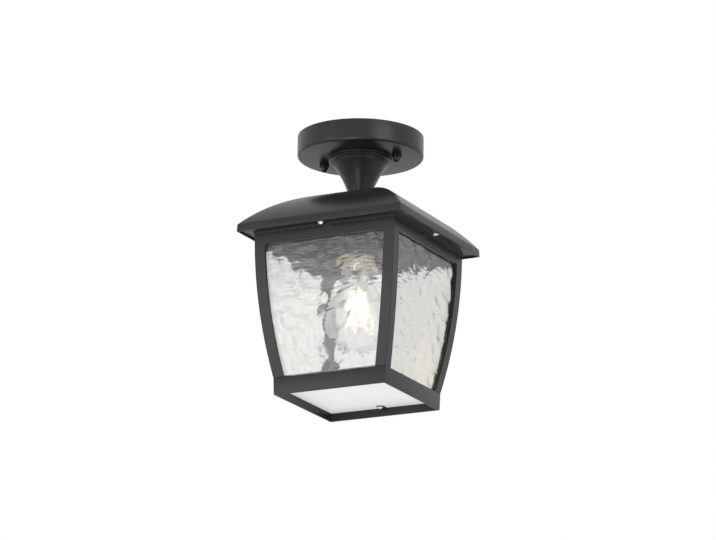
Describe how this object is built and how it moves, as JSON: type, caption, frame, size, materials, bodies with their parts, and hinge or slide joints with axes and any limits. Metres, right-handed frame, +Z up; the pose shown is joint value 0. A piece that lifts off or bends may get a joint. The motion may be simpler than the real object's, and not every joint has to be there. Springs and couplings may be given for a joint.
{
  "type": "porch ceiling lantern",
  "caption": "Square black porch lantern with a vaulted roof and bowed glass sides, hung from a round ceiling canopy by a turned neck, with a clear filament lamp inside.",
  "frame": {"origin": "centre of the round canopy on the ceiling plane, midway between the two box screw slots", "axes": "+Z up into the ceiling, -Y out of the front face, +X out of the right face"},
  "size_m": [0.1712, 0.1712, 0.2598],
  "materials": {
    "black_metal": "satin black powder coat",
    "zinc_steel": "zinc plated",
    "bright_screw": "bright steel",
    "brass": "plain",
    "rippled_glass": "rippled water glass",
    "frosted_panel": "frosted white",
    "clear_glass": "clear",
    "porcelain": "glazed porcelain",
    "black_insulator": "gloss",
    "lamp_cap_metal": "satin",
    "filament": "matte",
    "lead_wire": "plain"
  },
  "bodies": {
    "lantern": {"ceiling_canopy": "black_metal", "crossbar_box_strap": "zinc_steel", "crossbar_canopy_strap": "zinc_steel", "crossbar_eyelet": "zinc_steel", "ground_screw": "brass", "canopy_studs": "zinc_steel", "stud_lock_nuts": "zinc_steel", "neck_flare": "black_metal", "threaded_nipple": "zinc_steel", "nipple_top_washer": "zinc_steel", "nipple_top_nut": "brass", "nipple_bottom_washer": "zinc_steel", "nipple_bottom_nut": "brass", "bracket_nut": "brass", "roof_shell": "black_metal", "eave_screws": "bright_screw", "cage_top_flange": "black_metal", "cage_front_frame": "black_metal", "cage_right_frame": "black_metal", "cage_back_frame": "black_metal", "cage_left_frame": "black_metal", "front_pane": "rippled_glass", "right_pane": "rippled_glass", "back_pane": "rippled_glass", "left_pane": "rippled_glass", "cage_bottom_rail": "black_metal", "bottom_panel": "frosted_panel", "panel_clips": "black_metal", "panel_screws": "bright_screw", "lampholder_bracket": "zinc_steel", "lampholder_body": "porcelain", "lampholder_screws": "zinc_steel", "lampholder_shell": "brass", "lampholder_contact": "brass"},
    "lamp": {"lamp_contact": "brass", "lamp_cap_insulator": "black_insulator", "lamp_cap": "lamp_cap_metal", "lamp_glass": "clear_glass", "lamp_stem": "clear_glass", "lamp_filaments": "filament", "lamp_lead_wires": "lead_wire"},
    "left_nut": {"left_cap_nut": "black_metal"},
    "right_nut": {"right_cap_nut": "black_metal"}
  },
  "joints": [
    {"name": "lamp_turn", "type": "hinge", "parent": "lantern", "child": "lamp", "pos_m": [0, 0, -0.12], "axis": [0, 0, 1], "continuous": true},
    {"name": "left_cap_nut_turn", "type": "hinge", "parent": "lantern", "child": "left_nut", "pos_m": [-0.0385, 0, -0.0251], "axis": [0, 0, 1], "continuous": true},
    {"name": "right_cap_nut_turn", "type": "hinge", "parent": "lantern", "child": "right_nut", "pos_m": [0.0385, 0, -0.0251], "axis": [0, 0, 1], "continuous": true}
  ]
}
